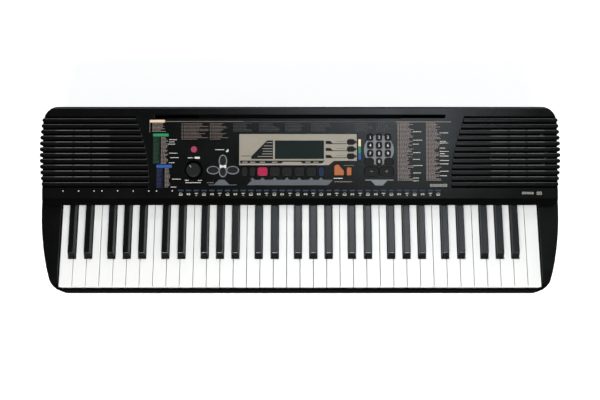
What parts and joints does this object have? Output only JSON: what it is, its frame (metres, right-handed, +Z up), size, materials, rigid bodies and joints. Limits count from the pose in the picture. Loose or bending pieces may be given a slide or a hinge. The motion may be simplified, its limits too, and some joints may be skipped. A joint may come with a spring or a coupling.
{
  "type": "arranger keyboard",
  "caption": "Arranger keyboard: black moulded case with sprung piano keys, sloped panel with display, push buttons and volume knob, ribbed speaker ends, rear sockets.",
  "frame": {"origin": "centre of the footprint on the floor under the rubber feet", "axes": "+X to the treble end, +Y to the rear, +Z up"},
  "size_m": [0.92, 0.324, 0.1243],
  "materials": {
    "case_plastic": "fine-textured black",
    "window_plastic": "clear acrylic, silver printed from behind",
    "display_plastic": "dark liquid-crystal glass in a frame",
    "chassis_plastic": "moulded",
    "steel": "drawn",
    "felt": "felt",
    "board": "circuit board",
    "contact_rubber": "moulded silicone",
    "switch_plastic": "moulded",
    "socket_plastic": "moulded",
    "speaker_metal": "pressed steel",
    "cone_paper": "pressed paper",
    "contact_metal": "plated spring steel",
    "foot_rubber": "moulded rubber",
    "screw_steel": "blackened steel",
    "white_key_plastic": "polished white",
    "black_key_plastic": "satin black",
    "button_dark": "moulded",
    "button_crimson": "moulded",
    "button_blue": "moulded",
    "button_orange": "moulded",
    "button_red": "moulded",
    "knob_plastic": "moulded",
    "cover_plastic": "fine-textured black"
  },
  "bodies": {
    "case": {"lower_case": "case_plastic", "upper_case": "case_plastic", "display_window": "window_plastic", "display_module": "display_plastic", "key_chassis": "chassis_plastic", "hinge_rod": "steel", "stop_felts": "felt", "contact_board": "board", "contact_rubbers": "contact_rubber", "main_board": "board", "panel_board": "board", "panel_switches": "switch_plastic", "volume_pot": "switch_plastic", "rear_sockets": "socket_plastic", "speaker_frames": "speaker_metal", "speaker_cones": "cone_paper", "battery_contacts": "contact_metal", "rubber_feet": "foot_rubber", "case_screws": "screw_steel"},
    "keys_cegb_1": {"keys_cegb_1": "white_key_plastic"},
    "keys_dfa_1": {"keys_dfa_1": "white_key_plastic"},
    "keys_black_1": {"keys_black_1": "black_key_plastic"},
    "keys_cegb_2": {"keys_cegb_2": "white_key_plastic"},
    "keys_dfa_2": {"keys_dfa_2": "white_key_plastic"},
    "keys_black_2": {"keys_black_2": "black_key_plastic"},
    "keys_cegb_3": {"keys_cegb_3": "white_key_plastic"},
    "keys_dfa_3": {"keys_dfa_3": "white_key_plastic"},
    "keys_black_3": {"keys_black_3": "black_key_plastic"},
    "keys_cegb_4": {"keys_cegb_4": "white_key_plastic"},
    "keys_dfa_4": {"keys_dfa_4": "white_key_plastic"},
    "keys_black_4": {"keys_black_4": "black_key_plastic"},
    "keys_cegb_5": {"keys_cegb_5": "white_key_plastic"},
    "keys_dfa_5": {"keys_dfa_5": "white_key_plastic"},
    "keys_black_5": {"keys_black_5": "black_key_plastic"},
    "key_high_c": {"key_high_c": "white_key_plastic"},
    "function_button_1": {"function_button_1": "button_dark"},
    "function_button_2": {"function_button_2": "button_dark"},
    "function_button_3": {"function_button_3": "button_crimson"},
    "function_button_4": {"function_button_4": "button_dark"},
    "function_button_5": {"function_button_5": "button_dark"},
    "function_button_6": {"function_button_6": "button_dark"},
    "function_button_7": {"function_button_7": "button_dark"},
    "function_button_8": {"function_button_8": "button_blue"},
    "select_button_1": {"select_button_1": "button_dark"},
    "select_button_2": {"select_button_2": "button_dark"},
    "select_button_3": {"select_button_3": "button_dark"},
    "keypad_row_1": {"keypad_row_1": "button_dark"},
    "keypad_row_2": {"keypad_row_2": "button_dark"},
    "keypad_row_3": {"keypad_row_3": "button_dark"},
    "keypad_row_4": {"keypad_row_4": "button_dark"},
    "keypad_bars": {"keypad_bars": "button_dark"},
    "cursor_left": {"cursor_left": "button_dark"},
    "cursor_right": {"cursor_right": "button_dark"},
    "cursor_up": {"cursor_up": "button_dark"},
    "cursor_down": {"cursor_down": "button_dark"},
    "grand_piano_button": {"grand_piano_button": "button_orange"},
    "metronome_button": {"metronome_button": "button_orange"},
    "power_button": {"power_button": "button_red"},
    "volume_knob": {"volume_knob": "knob_plastic"},
    "battery_cover": {"battery_cover": "cover_plastic"}
  },
  "joints": [
    {"name": "keys_cegb_1_press", "type": "hinge", "parent": "case", "child": "keys_cegb_1", "pos_m": [0, 0.042, 0.062], "axis": [1, 0, 0], "range_deg": [0, 3], "stiffness_Nm_per_rad": 7, "springref_deg": -3.44},
    {"name": "keys_dfa_1_press", "type": "hinge", "parent": "case", "child": "keys_dfa_1", "pos_m": [0, 0.042, 0.062], "axis": [1, 0, 0], "range_deg": [0, 3], "stiffness_Nm_per_rad": 5.25, "springref_deg": -3.44},
    {"name": "keys_black_1_press", "type": "hinge", "parent": "case", "child": "keys_black_1", "pos_m": [0, 0.042, 0.062], "axis": [1, 0, 0], "range_deg": [0, 3], "stiffness_Nm_per_rad": 8.75, "springref_deg": -3.44},
    {"name": "keys_cegb_2_press", "type": "hinge", "parent": "case", "child": "keys_cegb_2", "pos_m": [0, 0.042, 0.062], "axis": [1, 0, 0], "range_deg": [0, 3], "stiffness_Nm_per_rad": 7, "springref_deg": -3.44},
    {"name": "keys_dfa_2_press", "type": "hinge", "parent": "case", "child": "keys_dfa_2", "pos_m": [0, 0.042, 0.062], "axis": [1, 0, 0], "range_deg": [0, 3], "stiffness_Nm_per_rad": 5.25, "springref_deg": -3.44},
    {"name": "keys_black_2_press", "type": "hinge", "parent": "case", "child": "keys_black_2", "pos_m": [0, 0.042, 0.062], "axis": [1, 0, 0], "range_deg": [0, 3], "stiffness_Nm_per_rad": 8.75, "springref_deg": -3.44},
    {"name": "keys_cegb_3_press", "type": "hinge", "parent": "case", "child": "keys_cegb_3", "pos_m": [0, 0.042, 0.062], "axis": [1, 0, 0], "range_deg": [0, 3], "stiffness_Nm_per_rad": 7, "springref_deg": -3.44},
    {"name": "keys_dfa_3_press", "type": "hinge", "parent": "case", "child": "keys_dfa_3", "pos_m": [0, 0.042, 0.062], "axis": [1, 0, 0], "range_deg": [0, 3], "stiffness_Nm_per_rad": 5.25, "springref_deg": -3.44},
    {"name": "keys_black_3_press", "type": "hinge", "parent": "case", "child": "keys_black_3", "pos_m": [0, 0.042, 0.062], "axis": [1, 0, 0], "range_deg": [0, 3], "stiffness_Nm_per_rad": 8.75, "springref_deg": -3.44},
    {"name": "keys_cegb_4_press", "type": "hinge", "parent": "case", "child": "keys_cegb_4", "pos_m": [0, 0.042, 0.062], "axis": [1, 0, 0], "range_deg": [0, 3], "stiffness_Nm_per_rad": 7, "springref_deg": -3.44},
    {"name": "keys_dfa_4_press", "type": "hinge", "parent": "case", "child": "keys_dfa_4", "pos_m": [0, 0.042, 0.062], "axis": [1, 0, 0], "range_deg": [0, 3], "stiffness_Nm_per_rad": 5.25, "springref_deg": -3.44},
    {"name": "keys_black_4_press", "type": "hinge", "parent": "case", "child": "keys_black_4", "pos_m": [0, 0.042, 0.062], "axis": [1, 0, 0], "range_deg": [0, 3], "stiffness_Nm_per_rad": 8.75, "springref_deg": -3.44},
    {"name": "keys_cegb_5_press", "type": "hinge", "parent": "case", "child": "keys_cegb_5", "pos_m": [0, 0.042, 0.062], "axis": [1, 0, 0], "range_deg": [0, 3], "stiffness_Nm_per_rad": 7, "springref_deg": -3.44},
    {"name": "keys_dfa_5_press", "type": "hinge", "parent": "case", "child": "keys_dfa_5", "pos_m": [0, 0.042, 0.062], "axis": [1, 0, 0], "range_deg": [0, 3], "stiffness_Nm_per_rad": 5.25, "springref_deg": -3.44},
    {"name": "keys_black_5_press", "type": "hinge", "parent": "case", "child": "keys_black_5", "pos_m": [0, 0.042, 0.062], "axis": [1, 0, 0], "range_deg": [0, 3], "stiffness_Nm_per_rad": 8.75, "springref_deg": -3.44},
    {"name": "key_high_c_press", "type": "hinge", "parent": "case", "child": "key_high_c", "pos_m": [0, 0.042, 0.062], "axis": [1, 0, 0], "range_deg": [0, 3], "stiffness_Nm_per_rad": 1.75, "springref_deg": -3.44},
    {"name": "function_button_1_press", "type": "slide", "parent": "case", "child": "function_button_1", "axis": [0, 0.165, -0.9863], "range_m": [0, 0.0012], "stiffness_N_per_m": 400, "springref_m": -0.002},
    {"name": "function_button_2_press", "type": "slide", "parent": "case", "child": "function_button_2", "axis": [0, 0.165, -0.9863], "range_m": [0, 0.0012], "stiffness_N_per_m": 400, "springref_m": -0.002},
    {"name": "function_button_3_press", "type": "slide", "parent": "case", "child": "function_button_3", "axis": [0, 0.165, -0.9863], "range_m": [0, 0.0012], "stiffness_N_per_m": 400, "springref_m": -0.002},
    {"name": "function_button_4_press", "type": "slide", "parent": "case", "child": "function_button_4", "axis": [0, 0.165, -0.9863], "range_m": [0, 0.0012], "stiffness_N_per_m": 400, "springref_m": -0.002},
    {"name": "function_button_5_press", "type": "slide", "parent": "case", "child": "function_button_5", "axis": [0, 0.165, -0.9863], "range_m": [0, 0.0012], "stiffness_N_per_m": 400, "springref_m": -0.002},
    {"name": "function_button_6_press", "type": "slide", "parent": "case", "child": "function_button_6", "axis": [0, 0.165, -0.9863], "range_m": [0, 0.0012], "stiffness_N_per_m": 400, "springref_m": -0.002},
    {"name": "function_button_7_press", "type": "slide", "parent": "case", "child": "function_button_7", "axis": [0, 0.165, -0.9863], "range_m": [0, 0.0012], "stiffness_N_per_m": 400, "springref_m": -0.002},
    {"name": "function_button_8_press", "type": "slide", "parent": "case", "child": "function_button_8", "axis": [0, 0.165, -0.9863], "range_m": [0, 0.0012], "stiffness_N_per_m": 400, "springref_m": -0.002},
    {"name": "select_button_1_press", "type": "slide", "parent": "case", "child": "select_button_1", "axis": [0, 0.165, -0.9863], "range_m": [0, 0.0012], "stiffness_N_per_m": 400, "springref_m": -0.002},
    {"name": "select_button_2_press", "type": "slide", "parent": "case", "child": "select_button_2", "axis": [0, 0.165, -0.9863], "range_m": [0, 0.0012], "stiffness_N_per_m": 400, "springref_m": -0.002},
    {"name": "select_button_3_press", "type": "slide", "parent": "case", "child": "select_button_3", "axis": [0, 0.165, -0.9863], "range_m": [0, 0.0012], "stiffness_N_per_m": 400, "springref_m": -0.002},
    {"name": "keypad_row_1_press", "type": "slide", "parent": "case", "child": "keypad_row_1", "axis": [0, 0.165, -0.9863], "range_m": [0, 0.0012], "stiffness_N_per_m": 1200, "springref_m": -0.002},
    {"name": "keypad_row_2_press", "type": "slide", "parent": "case", "child": "keypad_row_2", "axis": [0, 0.165, -0.9863], "range_m": [0, 0.0012], "stiffness_N_per_m": 1200, "springref_m": -0.002},
    {"name": "keypad_row_3_press", "type": "slide", "parent": "case", "child": "keypad_row_3", "axis": [0, 0.165, -0.9863], "range_m": [0, 0.0012], "stiffness_N_per_m": 1200, "springref_m": -0.002},
    {"name": "keypad_row_4_press", "type": "slide", "parent": "case", "child": "keypad_row_4", "axis": [0, 0.165, -0.9863], "range_m": [0, 0.0012], "stiffness_N_per_m": 1200, "springref_m": -0.002},
    {"name": "keypad_bars_press", "type": "slide", "parent": "case", "child": "keypad_bars", "axis": [0, 0.165, -0.9863], "range_m": [0, 0.0012], "stiffness_N_per_m": 800, "springref_m": -0.002},
    {"name": "cursor_left_press", "type": "slide", "parent": "case", "child": "cursor_left", "axis": [0, 0.165, -0.9863], "range_m": [0, 0.0012], "stiffness_N_per_m": 400, "springref_m": -0.002},
    {"name": "cursor_right_press", "type": "slide", "parent": "case", "child": "cursor_right", "axis": [0, 0.165, -0.9863], "range_m": [0, 0.0012], "stiffness_N_per_m": 400, "springref_m": -0.002},
    {"name": "cursor_up_press", "type": "slide", "parent": "case", "child": "cursor_up", "axis": [0, 0.165, -0.9863], "range_m": [0, 0.0012], "stiffness_N_per_m": 400, "springref_m": -0.002},
    {"name": "cursor_down_press", "type": "slide", "parent": "case", "child": "cursor_down", "axis": [0, 0.165, -0.9863], "range_m": [0, 0.0012], "stiffness_N_per_m": 400, "springref_m": -0.002},
    {"name": "grand_piano_button_press", "type": "slide", "parent": "case", "child": "grand_piano_button", "axis": [0, 0.165, -0.9863], "range_m": [0, 0.0012], "stiffness_N_per_m": 400, "springref_m": -0.002},
    {"name": "metronome_button_press", "type": "slide", "parent": "case", "child": "metronome_button", "axis": [0, 0.165, -0.9863], "range_m": [0, 0.0012], "stiffness_N_per_m": 400, "springref_m": -0.002},
    {"name": "power_button_press", "type": "slide", "parent": "case", "child": "power_button", "axis": [0, 0.165, -0.9863], "range_m": [0, 0.0025], "stiffness_N_per_m": 400, "springref_m": -0.002},
    {"name": "volume_turn", "type": "hinge", "parent": "case", "child": "volume_knob", "pos_m": [-0.1875, 0.04912, 0.10622], "axis": [0, -0.165, 0.9863], "range_deg": [-200, 100]},
    {"name": "battery_cover_lift", "type": "slide", "parent": "case", "child": "battery_cover", "axis": [0, 0, -1], "range_m": [0, 0.04]}
  ]
}
